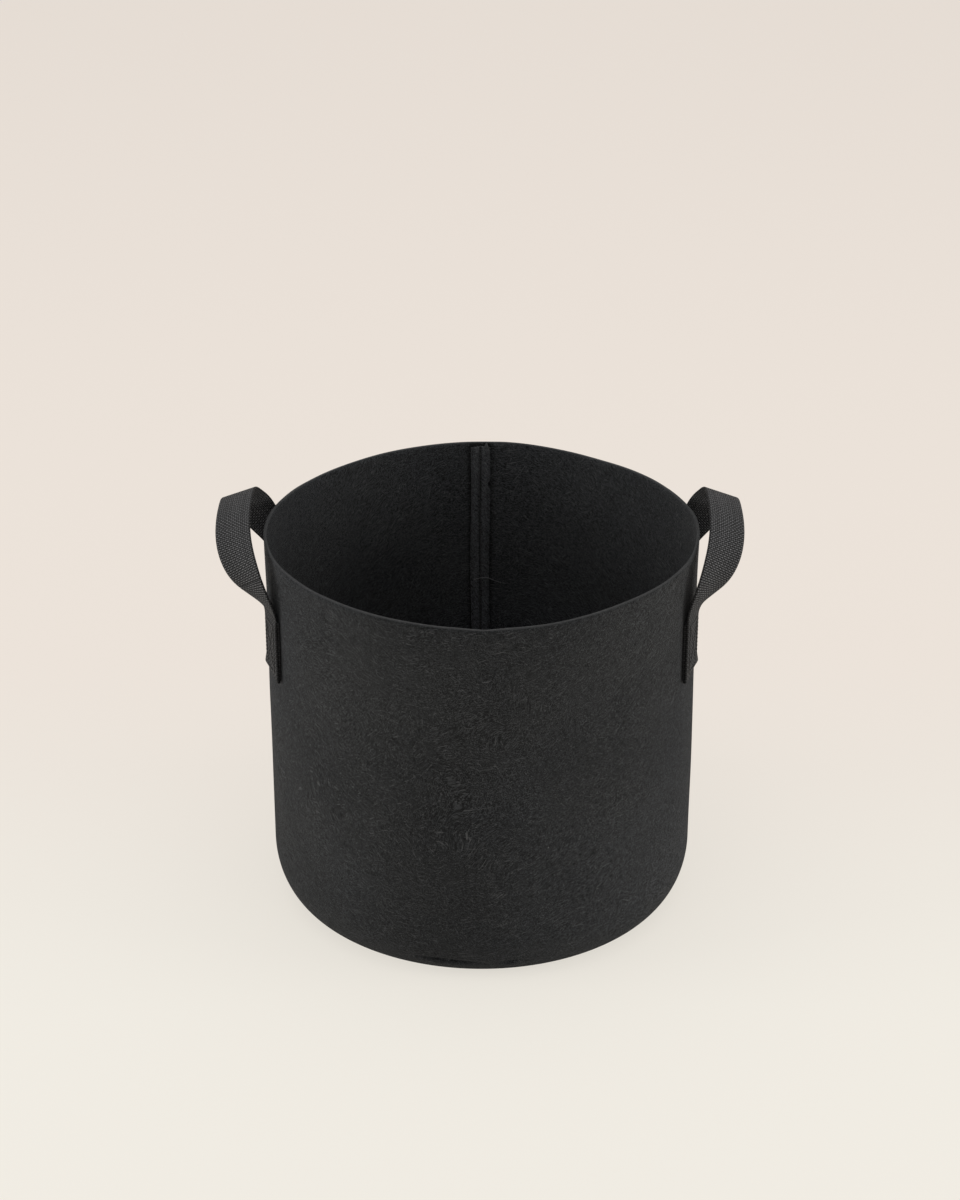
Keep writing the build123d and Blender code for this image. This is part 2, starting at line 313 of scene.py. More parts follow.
class Recipe:
    """A node tree with short ways to add and link nodes."""

    def __init__(self, tree):
        self.tree = tree

    def node(self, kind, **settings):
        made = self.tree.nodes.new(kind)
        for key, value in settings.items():
            setattr(made, key, value)
        return made

    def link(self, source, target):
        self.tree.links.new(source, target)

    def feed(self, socket, value):
        """Gives an input what another node makes, or else a plain value."""
        if hasattr(value, "is_linked"):
            self.link(value, socket)
        else:
            socket.default_value = value

    def math(self, operation, first, second=0.0, clamp=False):
        made = self.node("ShaderNodeMath", operation=operation, use_clamp=clamp)
        self.feed(made.inputs[0], first)
        self.feed(made.inputs[1], second)
        return made.outputs[0]

    def product(self, first, *others):
        for other in others:
            first = self.math("MULTIPLY", first, other)
        return first

    def distance(self, value, middle):
        return self.math("ABSOLUTE", self.math("SUBTRACT", value, middle))

    def parts(self, vector):
        """The X, Y and Z of a vector, by name."""
        made = self.node("ShaderNodeSeparateXYZ")
        self.link(vector, made.inputs[0])
        return made.outputs

    def noise(self, vector, scale, detail=2.0, roughness=0.5):
        made = self.node("ShaderNodeTexNoise")
        made.inputs["Scale"].default_value = scale
        made.inputs["Detail"].default_value = detail
        made.inputs["Roughness"].default_value = roughness
        self.link(vector, made.inputs["Vector"])
        return made.outputs

    def steps(self, value, low, high, out_low=0.0, out_high=1.0):
        """Goes smoothly from one level to another while the value goes from low to high."""
        made = self.node("ShaderNodeMapRange", interpolation_type="SMOOTHSTEP")
        self.link(value, made.inputs["Value"])
        levels = (("From Min", low), ("From Max", high), ("To Min", out_low), ("To Max", out_high))
        for name, level in levels:
            made.inputs[name].default_value = level
        return made.outputs["Result"]

    def grey(self, value):
        made = self.node("ShaderNodeCombineColor")
        for channel in ("Red", "Green", "Blue"):
            self.link(value, made.inputs[channel])
        return made.outputs[0]

    def mix(self, factor, first, second, blend="MIX"):
        made = self.node("ShaderNodeMix", data_type="RGBA", blend_type=blend)
        for name, value in (("Factor", factor), ("A", first), ("B", second)):
            self.feed(made.inputs[name], value)
        return made.outputs["Result"]

    def tint(self, colour, cast):
        return self.mix(1.0, colour, cast, "MULTIPLY")

    def bump(self, surface, relief, strength, depth):
        made = self.node("ShaderNodeBump")
        made.inputs["Strength"].default_value = strength
        made.inputs["Distance"].default_value = depth
        self.link(relief, made.inputs["Height"])
        self.link(made.outputs[0], surface.inputs["Normal"])


def light_world():
    """Grey light from all round, and a warm backdrop wherever it is seen or mirrored."""
    world = bpy.data.worlds.new("studio")
    bpy.context.scene.world = world
    world.use_nodes = True
    recipe = Recipe(world.node_tree)
    path = recipe.node("ShaderNodeLightPath").outputs
    seen_or_mirrored = recipe.math("MAXIMUM", path["Is Camera Ray"], path["Is Glossy Ray"])
    sky = recipe.mix(seen_or_mirrored, SKY_LIGHT, SKY_SEEN)
    recipe.link(sky, world.node_tree.nodes["Background"].inputs["Color"])


def new_material(name, roughness, shine=None):
    """A material with its recipe and its surface."""
    material = bpy.data.materials.new(name)
    material.use_nodes = True
    surface = material.node_tree.nodes["Principled BSDF"]
    surface.inputs["Roughness"].default_value = roughness
    if shine is not None:
        surface.inputs["Specular IOR Level"].default_value = shine
    return material, Recipe(material.node_tree), surface


def make_fibre_group():
    """Needled felt: a dense scratchy nap whose lay turns slowly over the cloth, and loose hairs."""
    tree = bpy.data.node_groups.new("felt fibres", "ShaderNodeTree")
    tree.interface.new_socket("Vector", in_out="INPUT", socket_type="NodeSocketVector")
    for label in ("Nap", "Hairs", "Specks"):
        tree.interface.new_socket(label, in_out="OUTPUT", socket_type="NodeSocketFloat")
    recipe = Recipe(tree)
    cloth = recipe.node("NodeGroupInput").outputs["Vector"]
    out = recipe.node("NodeGroupOutput")

    def drifted(place, turns):
        """The cloth's own coordinates, bent so that the fibres' lay wanders."""
        for scale, reach in turns:
            swirl = recipe.node("ShaderNodeVectorMath", operation="SCALE")
            recipe.link(recipe.noise(cloth, scale, 1.0)["Color"], swirl.inputs[0])
            swirl.inputs["Scale"].default_value = reach
            moved = recipe.node("ShaderNodeVectorMath", operation="ADD")
            recipe.link(place, moved.inputs[0])
            recipe.link(swirl.outputs[0], moved.inputs[1])
            place = moved.outputs[0]
        return place

    def strands(place, turn, scale, stretch, low, high):
        """Fibres that lie one way: a mask from noise drawn out along them."""
        lay = recipe.node("ShaderNodeMapping", vector_type="TEXTURE")
        lay.inputs["Rotation"].default_value = (0, 0, radians(turn))
        lay.inputs["Location"].default_value = (turn * 0.01, scale * 0.001, 0)
        lay.inputs["Scale"].default_value = (stretch, 1, 1)
        recipe.link(place, lay.inputs["Vector"])
        return recipe.steps(recipe.noise(lay.outputs[0], scale, 2.0, 0.6)["Fac"], low, high)

    # The main lay sags in a long curve: down to the right at the bag's left, up at its right
    ways = recipe.parts(cloth)
    around = recipe.product(recipe.math("SUBTRACT", ways["X"], WALL_MAP_START), 1 / RADIUS)
    sideways = recipe.math("SINE", around)
    combed = recipe.node("ShaderNodeCombineXYZ")
    recipe.link(ways["X"], combed.inputs["X"])
    sagging = recipe.math("ADD", ways["Y"], recipe.product(sideways, -FIBRE_SAG))
    recipe.link(sagging, combed.inputs["Y"])
    combed = drifted(combed.outputs[0], COMBED_DRIFT)
    loose = drifted(cloth, LOOSE_DRIFT)

    # Nap: the combed fibres, looser at the front, then the loose ones and a fine grain
    nap = recipe.math("ADD", *(strands(combed, *fibres) for fibres in COMBED_NAP))
    front = recipe.math("MAXIMUM", recipe.product(sideways, -1.0), 0.0)
    loosened = recipe.product(front, front, FRONT_LOOSENED)
    nap = recipe.product(nap, recipe.math("SUBTRACT", 1.0, loosened))
    nap = recipe.math("ADD", nap, recipe.product(loosened, FRONT_FILL))
    nap = recipe.math("ADD", nap, strands(loose, *LOOSE_NAP))
    grain = recipe.steps(recipe.noise(cloth, GRAIN, 1.0)["Fac"], 0.30, 0.70)
    nap = recipe.math("ADD", recipe.product(nap, NAP_SHARE), recipe.product(grain, GRAIN_SHARE))

    hairs = recipe.math("MAXIMUM", *(strands(loose, *fibres) for fibres in LOOSE_HAIRS))
    hairs = recipe.math("MAXIMUM", hairs, strands(combed, *COMBED_HAIRS))

    # Specks of lint: the middles of a few cells, chosen by their own colour
    cells = recipe.node("ShaderNodeTexVoronoi", feature="F1")
    cells.inputs["Scale"].default_value = 110.0
    recipe.link(cloth, cells.inputs["Vector"])
    chosen = recipe.node("ShaderNodeSeparateColor")
    recipe.link(cells.outputs["Color"], chosen.inputs["Color"])
    rare = recipe.math("GREATER_THAN", chosen.outputs["Red"], 0.985)
    specks = recipe.product(rare, recipe.steps(cells.outputs["Distance"], 0.0, 0.05, 1.0, 0.0))

    for label, made in (("Nap", nap), ("Hairs", hairs), ("Specks", specks)):
        recipe.link(made, out.inputs[label])
    return tree


def make_felt(name, dark, light, fibres, shading=None):
    """Charcoal needled felt. It reads the flat map in metres, and its raw cut rim by height."""
    material, recipe, surface = new_material(name, 0.95, 0.06)
    cloth = recipe.node("ShaderNodeUVMap", uv_map="cloth").outputs["UV"]
    solid = recipe.node("ShaderNodeTexCoord").outputs
    pile = recipe.node("ShaderNodeGroup", node_tree=fibres)
    recipe.link(cloth, pile.inputs["Vector"])
    clouds = recipe.noise(solid["Object"], 9.0, 3.0, 0.6)["Fac"]
    casts = recipe.noise(solid["Object"], 6.0, 1.0)["Fac"]
    ground = recipe.mix(recipe.steps(clouds, 0.30, 0.70), dark, light)
    ground = recipe.tint(ground, recipe.mix(recipe.steps(casts, 0.42, 0.62), NEUTRAL_CAST, COOL_CAST))
    ground = recipe.tint(ground, recipe.grey(recipe.steps(pile.outputs["Nap"], 0.20, 0.74, 0.10, 2.50)))
    if shading:
        ground = recipe.tint(ground, recipe.grey(shading(recipe, recipe.parts(cloth)["X"], solid)))
    haired = recipe.mix(recipe.product(pile.outputs["Hairs"], 0.55), ground, HAIR)
    dusted = recipe.mix(pile.outputs["Specks"], haired, SPECK)
    height = recipe.parts(solid["Object"])["Z"]
    cut = recipe.steps(height, HEIGHT - 0.0007, HEIGHT - 0.0002, 0.0, 0.7)
    recipe.link(recipe.mix(cut, dusted, CUT_EDGE), surface.inputs["Base Color"])
    surface.inputs["Sheen Weight"].default_value = 0.05
    surface.inputs["Sheen Roughness"].default_value = 0.6
    relief = recipe.math("ADD", recipe.product(pile.outputs["Hairs"], 0.5), pile.outputs["Nap"])
    recipe.bump(surface, relief, 0.6, 0.0006)
    return material


def seam_painted_shade(recipe, across, solid):
    """Painted shade on the inside of the wall beside the seam's allowances, where they stand off it."""
    seam_middle = pi / 2 * RADIUS + WALL_MAP_START - SEAM_SHIFT
    # A band of painted shade beside the allowances, as if cast by them, on inward faces only
    crease = recipe.steps(recipe.distance(across, seam_middle), 0.0066, 0.0112, 0.25, 1.0)
    facing_in = recipe.math("LESS_THAN", recipe.parts(solid["Normal"])["Y"], 0.0)
    return recipe.math("MAXIMUM", crease, recipe.math("SUBTRACT", 1.0, facing_in))


def groove_painted_shade(recipe, across, solid):
    """Painted shade down the groove that the row of stitches pulls into the allowances."""
    return recipe.steps(recipe.distance(across, PLY_MAP_MIDDLE), 0.0004, 0.0013, 0.30, 1.0)


def make_webbing(name):
    """Woven carrying webbing, ribbed across and along, with small dark gaps between the yarns."""
    material, recipe, surface = new_material(name, 0.80, 0.08)
    cloth = recipe.node("ShaderNodeUVMap", uv_map="cloth").outputs["UV"]
    ways = recipe.parts(cloth)
    cell_across = recipe.product(ways["X"], 1 / YARN_PITCH)
    cell_along = recipe.product(ways["Y"], 1 / YARN_PITCH)

    def round_yarn(cells):
        """0 at both sides of each yarn and 1 along its crown."""
        off_crown = recipe.math("SUBTRACT", recipe.product(recipe.math("FRACT", cells), 2.0), 1.0)
        return recipe.math("SUBTRACT", 1.0, recipe.product(off_crown, off_crown))

    # A plain weave: the yarns across and along take turns to lie on top
    warp_count = recipe.math("FLOOR", cell_across)
    counted = recipe.math("ADD", warp_count, recipe.math("FLOOR", cell_along))
    weft_over = recipe.math("FLOORED_MODULO", counted, 2.0)
    warp, weft = round_yarn(cell_across), round_yarn(cell_along)
    warp_over = recipe.math("SUBTRACT", 1.0, weft_over)
    over = recipe.math("ADD", recipe.product(weft, weft_over), recipe.product(warp, warp_over))
    filled = recipe.steps(recipe.math("MAXIMUM", warp, weft), 0.0, 0.8, 0.2, 1.0)
    lifted = recipe.product(over, filled)

    # Its shade: dark gaps, dimmer warp, yarns that differ a little, and wear
    shade = recipe.product(
        recipe.steps(lifted, 0.35, 0.95),
        recipe.steps(weft_over, 0.0, 1.0, 0.55, 1.0),
        recipe.steps(weft, 0.0, 0.7, 0.30, 1.0),
    )
    yarn_tone = recipe.node("ShaderNodeTexWhiteNoise", noise_dimensions="1D")
    recipe.link(warp_count, yarn_tone.inputs["W"])
    shade = recipe.product(shade, recipe.steps(yarn_tone.outputs["Value"], 0.0, 1.0, 0.86, 1.10))
    worn = recipe.noise(cloth, 900.0, 2.0, 0.6)["Fac"]
    shade = recipe.math("MULTIPLY", shade, recipe.steps(worn, 0.3, 0.7, 0.65, 1.15), clamp=True)

    # The selvedges turn away and get painted shade, and the strip gets painted shade towards its sewn
    # ends
    off_middle = recipe.distance(ways["X"], WEBBING_MAP_MIDDLE)
    edge_painted_shade = recipe.steps(off_middle, WEBBING_WIDTH / 2 - 0.0008, WEBBING_WIDTH / 2 - 0.0003, 1.0, 0.30)
    end_painted_shade = recipe.steps(recipe.math("ABSOLUTE", ways["Y"]), END_SHADE_FROM, LOOP_HALF, 1.0, 0.76)
    shade = recipe.product(shade, edge_painted_shade, end_painted_shade)
    recipe.link(recipe.mix(shade, YARN_GAP, YARN), surface.inputs["Base Color"])
    recipe.bump(surface, lifted, 0.8, 0.0005)
    return material


def make_thread(name, colour):
    """Twisted polyester sewing thread."""
    material, recipe, surface = new_material(name, 0.5)
    solid = recipe.node("ShaderNodeTexCoord")
    twist = recipe.noise(solid.outputs["Object"], 2600.0, 1.0)["Fac"]
    darker = tuple(part * 0.45 for part in colour[:3]) + (1,)
    strands = recipe.mix(recipe.steps(twist, 0.35, 0.65), darker, colour)
    recipe.link(strands, surface.inputs["Base Color"])
    recipe.bump(surface, twist, 0.5, 0.0002)
    return material


light_world()
fibre_group = make_fibre_group()
felt = make_felt("charcoal felt", FELT_DARK, FELT_LIGHT, fibre_group, seam_painted_shade)
base_felt = make_felt("charcoal base felt", FELT_DARK, FELT_LIGHT, fibre_group)
pressed_felt = make_felt("pressed felt", PRESSED_DARK, PRESSED_LIGHT, fibre_group, groove_painted_shade)
webbing = make_webbing("black webbing")
thread = make_thread("black thread", STITCH)
loose_thread = make_thread("loose thread", LOOSE_END)


# ---------------------------------------------------------------- felt shapes

def near(value, middle, reach):
    """1 at the middle and 0 beyond reach, with a smooth shoulder."""
    share = min(abs(value - middle) / reach, 1.0)
    return (1 - share * share) ** 2


def ridge(distance, width, rise):
    """A soft ridge beside its line, or a groove where the rise is negative."""
    return exp(-(distance / width) ** 2) * rise


def turn_from(azimuth, other):
    """Signed angle from another azimuth, within half a turn."""
    return (azimuth - other + pi) % (2 * pi) - pi


def direction(azimuth):
    """Level direction away from the bag's axis."""
    return Vector((cos(azimuth), sin(azimuth), 0))


def calm(azimuth):
    """Felt lies still where the webbing and the side seam are sewn to it."""
    quiet = max(near(turn_from(azimuth, end), 0, radians(13)) for end in END_AZIMUTHS.values())
    return 1 - max(quiet, near(turn_from(azimuth, pi / 2), 0, radians(7)))


def felt_push(azimuth, height):
    """All the outward moves of the wall: folds, slack waves and the crease of the front fold."""
    fold = FOLD_DEPTH * max(height - CORNER_RISE, 0) / (HEIGHT - CORNER_RISE)
    fold *= abs(sin(azimuth)) ** FOLD_SHARPNESS
    wave = sum(
        noise.noise(direction(azimuth) * across + Vector((place, 0, height * upwards))) * depth
        for across, upwards, place, depth in SLACK_WAVES
    )
    crease = exp(-abs(turn_from(azimuth, CREASE_AZIMUTH)) * RADIUS / CREASE_WIDTH) * CREASE_RISE
    risen = max(height - CORNER_RISE, 0) / (HEIGHT - CORNER_RISE)
    return fold + (wave * calm(azimuth) + crease) * min(risen * 3, 1)


def front_tuck(azimuth, height):
    """The tuck low on the front: a long piece and a short shallower one, with a lip under them."""
    along = turn_from(azimuth, -pi / 2) * RADIUS
    strength = max(near(along, *LONG_TUCK), near(along, *SHORT_TUCK) * 0.8)
    above_line = height - (TUCK_HEIGHT + TUCK_SLOPE * abs(along - TUCK_MIDDLE))
    groove = ridge(above_line, TUCK_WIDTH, -TUCK_DEPTH)
    lip = ridge(above_line + LIP_DROP, LIP_WIDTH, LIP_RISE)
    return strength * (groove + lip)


def rim_lift(azimuth):
    """The rim rises and dips a little round the bag, and the front fold pulls it down."""
    wave = noise.noise(direction(azimuth) * 2.4 + Vector((7, 0, 0))) * RIM_WAVE
    return wave * calm(azimuth) - RIM_DIP * near(turn_from(azimuth, -pi / 2), 0, 0.12)


def wall_profile():
    """Reach and height down the wall's outer face, round its corner and up the inside margin."""
    rows = []
    for step in range(WALL_ROWS + 1):
        rows.append((RADIUS, HEIGHT + (CORNER_RISE - HEIGHT) * step / WALL_ROWS))
    for step in range(1, CORNER_ROWS + 1):
        turn = pi / 2 * step / CORNER_ROWS
        rows.append((FOOT_RADIUS + (RADIUS - FOOT_RADIUS) * cos(turn), CORNER_RISE * (1 - sin(turn))))
    rows += [(SEAM_RADIUS + MARGIN_BEND * 0.3, MARGIN_BEND * 0.3), (SEAM_RADIUS, MARGIN_BEND)]
    for step in range(1, MARGIN_ROWS + 1):
        rows.append((SEAM_RADIUS, MARGIN_BEND + (SEAM_MARGIN - MARGIN_BEND) * step / MARGIN_ROWS))
    return rows


def base_profile():
    """Reach and height out along the base and up its turned margin."""
    rows = [(BASE_RADIUS * step / BASE_RINGS, 0) for step in range(BASE_RINGS)]
    rows += [(BASE_RADIUS - MARGIN_BEND, 0), (BASE_RADIUS - MARGIN_BEND * 0.3, MARGIN_BEND * 0.3)]
    return rows + [(BASE_RADIUS, height) for height in (MARGIN_BEND, SEAM_MARGIN / 2, SEAM_MARGIN)]


def spun(rows, columns):
    """A round skin spun about the bag's axis from a profile of reaches and heights."""
    shape = bmesh.new()
    chain = [shape.verts.new((reach, 0, height)) for reach, height in rows]
    edges = [shape.edges.new(pair) for pair in zip(chain, chain[1:])]
    bmesh.ops.spin(
        shape,
        geom=chain + edges,
        cent=(0, 0, 0),
        axis=(0, 0, 1),
        angle=2 * pi,
        steps=columns,
        use_merge=True,
        use_duplicate=False,
    )
    bmesh.ops.remove_doubles(shape, verts=shape.verts, dist=1e-6)
    bmesh.ops.recalc_face_normals(shape, faces=shape.faces)
    return shape


def lay_cloth_map(shape, place_of):
    """Writes the flat cloth's own coordinates, in metres, into the UV map named cloth."""
    layer = shape.loops.layers.uv.new("cloth")
    for face in shape.faces:
        middle = face.calc_center_median()
        for loop in face.loops:
            loop[layer].uv = place_of(loop.vert.co, middle)


def round_map(co, middle):
    """Distance round the wall and down it. A face across the join keeps to one side of it."""
    around = atan2(middle.y, middle.x)
    azimuth = around + turn_from(atan2(co.y, co.x), around)
    return (azimuth * RADIUS + WALL_MAP_START, co.z - CORNER_MAP_SLOPE * (RADIUS - hypot(co.x, co.y)))


def make_wall():
    """The wall, whose waves fade out towards the base seam."""
    shape = spun(wall_profile(), WALL_COLUMNS)
    lay_cloth_map(shape, round_map)
    for vert in shape.verts:
        reach = hypot(vert.co.x, vert.co.y)
        azimuth = atan2(vert.co.y, vert.co.x)
        height = vert.co.z
        if reach > FOOT_RADIUS + 0.001:
            settled = min((reach - FOOT_RADIUS) / 0.012, 1)
            reach += felt_push(azimuth, height) + front_tuck(azimuth, height) * settled
        height += rim_lift(azimuth) * max(height - RIM_FOOT, 0) / (HEIGHT - RIM_FOOT)
        vert.co = (reach * cos(azimuth), reach * sin(azimuth), height)
    wall = add_piece("wall_felt", shape, felt)
    thicken(wall, FELT)
    return wall


def make_base():
    """The base: flat where it is sewn, and lifted off the floor here and there within it."""
    shape = spun(base_profile(), BASE_COLUMNS)
    lay_cloth_map(shape, lambda co, middle: (co.x, co.y + BASE_MAP_SHIFT))
    for vert in shape.verts:
        if hypot(vert.co.x, vert.co.y) < BASE_FREE:
            vert.co.z += max(noise.noise(vert.co * 14) * BASE_LIFT, 0)
    base = add_piece("base_felt", shape, base_felt)
    thicken(base, FELT)
    return base


def wall_point(azimuth, height, inset):
    """A point on the wall, inset from its outer face. Low down it follows the corner's curve."""
    if height >= CORNER_RISE:
        reach = RADIUS - inset
    else:
        share = (CORNER_RISE - height) / (CORNER_RISE - inset)
        reach = FOOT_RADIUS + (RADIUS - FOOT_RADIUS - inset) * sqrt(max(1 - share * share, 0))
    reach += felt_push(azimuth, height)
    return Vector((reach * cos(azimuth), reach * sin(azimuth), height))


def make_allowance(name, width, inset, top, seed):
    """One ply of the side seam's allowance, pressed down the inside and puckered by its stitches."""

    def place_on_cloth(co, middle):
        return (co.x * width + PLY_MAP_MIDDLE, (co.y + seed) * PLY_MAP_LENGTH)

    shape = bmesh.new()
    bmesh.ops.create_grid(shape, x_segments=ALLOWANCE_COLUMNS, y_segments=ALLOWANCE_ROWS, size=0.5)
    lay_cloth_map(shape, place_on_cloth)
    for vert in shape.verts:
        across = vert.co.x * width
        height = ALLOWANCE_FOOT + (top - ALLOWANCE_FOOT) * (vert.co.y + 0.5)
        edge = abs(vert.co.x) * 2
        puff = PLY_PUFF * (1 - near(edge, 0, 0.55)) * (1 - edge**6)
        groove = -ROW_GROOVE * near(across, 0, 0.0016)
        pucker = noise.noise(Vector((across * 90 + seed, height * 150, seed))) * FINE_PUCKER
        pucker += noise.noise(Vector((across * 40, height * 45, seed + 4))) * COARSE_PUCKER
        curl = EDGE_CURL * near(height, top, 0.012) * edge
        curl += CORNER_CURL * near(height, top, 0.009) * near(across, -width / 2, 0.0065)
        tuck_line = top - 0.0085 + 0.9 * across
        curl += ridge(height - tuck_line, 0.0011, PLY_TUCK) * near(across, width / 2, 0.0070)
        height += PLY_TIP * near(across, 0.0042, 0.0014) * near(height, top, 0.0035)
        across += 0.0004 * (0.3 + 0.7 * edge) * sin(height * SEAM_SWAY + seed) + SEAM_SHIFT
        azimuth = pi / 2 - across / RADIUS
        vert.co = wall_point(azimuth, height, inset - PRESSED_PLY + 0.0002)
        relief = PRESSED_PLY + puff + groove + (pucker + curl) * min(edge + 0.3, 1)
        vert.co -= direction(azimuth) * relief
    bmesh.ops.recalc_face_normals(shape, faces=shape.faces)
    if sum(face.normal.y for face in shape.faces) > 0:
        bmesh.ops.reverse_faces(shape, faces=shape.faces)
    ply = add_piece(name, shape, pressed_felt)
    thicken(ply, PRESSED_PLY * 0.85)
    return ply


# ---------------------------------------------------------------- webbing

def arch_point(angle, facing, lean):
    """Centre of the loop's webbing at an arch angle: 0 is the front sewn end, pi the rear one."""
    rise = abs(sin(angle)) ** (2 / LOOP_SQUARENESS)
    spread = abs(cos(angle)) ** (2 / LOOP_SQUARENESS)
    foot = END_OUTER - END_BULGE - WEBBING / 2
    flare = lean * tan(END_ANGLE) / 2
    reach = foot * cos(END_ANGLE) + lean * sin(pi / 2 * min(rise, 1)) ** LEAN_DELAY
    apart = foot * sin(END_ANGLE) * spread + flare * sin(pi * rise)
    return Vector((facing * reach, -apart if angle < pi / 2 else apart, END_TOP + LOOP_RISE * rise))


def arch_frame(angle, facing, lean):
    """Centre, direction across and face direction of the loop's webbing at an arch angle."""
    ahead = arch_point(min(angle + 0.01, pi), facing, lean)
    behind = arch_point(max(angle - 0.01, 0), facing, lean)
    tangent = (ahead - behind).normalized()
    rise = min(abs(sin(angle)) ** (2 / LOOP_SQUARENESS), 1)
    turned = 1 - (1 - rise) ** TWIST_LEAD
    inwards = 1 if angle < pi / 2 else -1
    foot_edge = Vector((facing * sin(END_ANGLE), inwards * cos(END_ANGLE), 0))
    crest_edge = Vector((facing * cos(CREST_SLOPE), 0, -sin(CREST_SLOPE)))
    edge = foot_edge * (1 - turned) + crest_edge * turned
    edge = (edge - tangent * edge.dot(tangent)).normalized()
    return arch_point(angle, facing, lean), edge, edge.cross(tangent)


def loop_frames(facing, lean):
    """Frames along the webbing above its sewn ends, a millimetre or so apart."""
    spaced = []
    for step in range(ARCH_STEPS + 1):
        place = arch_frame(pi * step / ARCH_STEPS, facing, lean)
        if not spaced or (place[0] - spaced[-1][0]).length >= ARCH_SPACING:
            spaced.append(place)
    return spaced[BEND_ROWS:-BEND_ROWS]


def webbing_section():
    """Closed outline of the webbing's cross-section: two flat faces and rounded woven edges."""
    flat = WEBBING_WIDTH / 2 - 0.0009
    shoulder, slope = flat + 0.0006, WEBBING * 0.36
    face = [-flat + 2 * flat * step / FACE_COLUMNS for step in range(FACE_COLUMNS + 1)]
    outline = [(across, WEBBING / 2) for across in face]
    outline += [(shoulder, slope), (WEBBING_WIDTH / 2, 0), (shoulder, -slope)]
    outline += [(across, -WEBBING / 2) for across in reversed(face)]
    outline += [(-shoulder, -slope), (-WEBBING_WIDTH / 2, 0), (-shoulder, slope)]
    return outline + outline[:1]


def sewn_rows():
    """Rows down the turned-under ply, round its fold and up the face: reach, height, how far round."""
    fold = (END_OUTER - END_INNER - WEBBING) / 2
    middle = (END_OUTER + END_INNER) / 2
    low = END_BOTTOM + WEBBING / 2 + fold
    rows = []
    for step in range(UNDER_ROWS):
        drop = (low - END_BOTTOM - TURNED_UNDER) * step / UNDER_ROWS
        rows.append((middle - fold, END_BOTTOM + TURNED_UNDER + drop, 0.0))
    for step in range(FOLD_ROWS + 1):
        turn = pi * step / FOLD_ROWS
        rows.append((middle - fold * cos(turn), low - fold * sin(turn), step / FOLD_ROWS))
    for step in range(1, FACE_ROWS + 1):
        rows.append((middle + fold, low + (END_TOP - FACE_STOP - low) * step / FACE_ROWS, 1.0))
    return rows


def sewn_place(across, depth, row, azimuth, facing, inwards):
    """A point of a sewn end: across its width, and depth out from the webbing's middle."""
    reach, height, share = row
    towards_middle = across / (WEBBING_WIDTH / 2)
    foot = near(height, END_BOTTOM, FOOT_REACH)
    height += FOOT_SLANT * towards_middle * foot * inwards
    across += (1 - share) * UNDER_SHIFT * inwards * foot
    far_corner = near(height, END_BOTTOM + 0.003, 0.009) * near(towards_middle * inwards, 1, 0.7)
    reach += CORNER_LIFT * far_corner
    reach -= depth * cos(pi * share)
    turn = azimuth + across / END_OUTER * facing * inwards
    return Vector((reach * cos(turn), reach * sin(turn), height - depth * sin(pi * share)))


def smooth_line(places, seam):
    """Rounds the bend where the webbing leaves its sewn end."""
    for _ in range(SMOOTH_PASSES):
        reached = range(seam - SMOOTH_REACH - 1, seam + SMOOTH_REACH + 1)
        before = {index: list(places[index]) for index in reached}
        for index in reached[1:-1]:
            for column, point in enumerate(before[index]):
                around = before[index - 1][column] + point * 2 + before[index + 1][column]
                places[index][column] = around / 4


def make_handle(side, facing, lean):
    """One strip of webbing: turned under and sewn in front, over the loop, and sewn at the rear."""
    section = webbing_section()

    def sewn_end(end, inwards):
        azimuth = END_AZIMUTHS[f"{side}_{end}"]
        return [
            [sewn_place(across, depth, row, azimuth, facing, inwards) for across, depth in section]
            for row in sewn_rows()
        ]

    arch = []
    for centre, edge, face in loop_frames(facing, lean):
        if face.x * facing < 0 and face.z < 0.2:
            face = -face
        bulging = near(centre.z, END_TOP, 0.022)
        line = []
        for across, depth in section:
            bow = END_BULGE * (1 - (2 * across / WEBBING_WIDTH) ** 2) * bulging
            line.append(centre + edge * across + face * (depth + bow))
        arch.append(line)
    front, rear = sewn_end("front", 1), sewn_end("rear", -1)[::-1]
    places = front + arch + rear
    smooth_line(places, len(front))
    smooth_line(places, len(front) + len(arch))
    along = [0.0]
    crown = FACE_COLUMNS // 2
    for earlier, later in zip(places, places[1:]):
        along.append(along[-1] + (later[crown] - earlier[crown]).length)

    def address(co):
        """Row and column of a point of the flat grid."""
        return round((co.y + 0.5) * (len(places) - 1)), round((co.x + 0.5) * (len(section) - 1))

    def place_on_cloth(co, middle):
        row, column = address(co)
        return (section[column][0] + WEBBING_MAP_MIDDLE, along[row] - along[-1] / 2)

    shape = bmesh.new()
    bmesh.ops.create_grid(shape, x_segments=len(section) - 1, y_segments=len(places) - 1, size=0.5)
    lay_cloth_map(shape, place_on_cloth)
    for vert in shape.verts:
        row, column = address(vert.co)
        vert.co = places[row][column]
    bmesh.ops.remove_doubles(shape, verts=shape.verts, dist=1e-6)
    bmesh.ops.holes_fill(shape, edges=[edge for edge in shape.edges if edge.is_boundary], sides=0)
    bmesh.ops.recalc_face_normals(shape, faces=shape.faces)
    return add_piece(f"{side}_handle_webbing", shape, webbing)


# ---------------------------------------------------------------- threads

def sew(shape, place, along, outwards, width=THREAD):
    """One stitch: a slim rounded bead of thread that dips into the cloth at both ends."""
    across = outwards.cross(along).normalized()
    stand = Matrix((along.normalized(), across, outwards)).transposed().to_4x4()
    stand.translation = place
    made = bmesh.ops.create_uvsphere(shape, u_segments=6, v_segments=5, radius=0.5)
    for vert in made["verts"]:
        sideways, up, lengthwise = vert.co
        up -= STITCH_DIP * (2 * lengthwise) ** 2
        vert.co = stand @ Vector((lengthwise * STITCH_LENGTH, sideways * width, up * width))


def stitch_places(length):
    """Middles of the stitches along a row, as shares of its length."""
    count = max(ceil(length / STITCH_PITCH), 1)
    return [(step + 0.5) / count for step in range(count)]


def add_stitches(name, shape):
    """Finished stitches, as one piece."""
    bmesh.ops.recalc_face_normals(shape, faces=shape.faces)
    return add_piece(name, shape, thread)


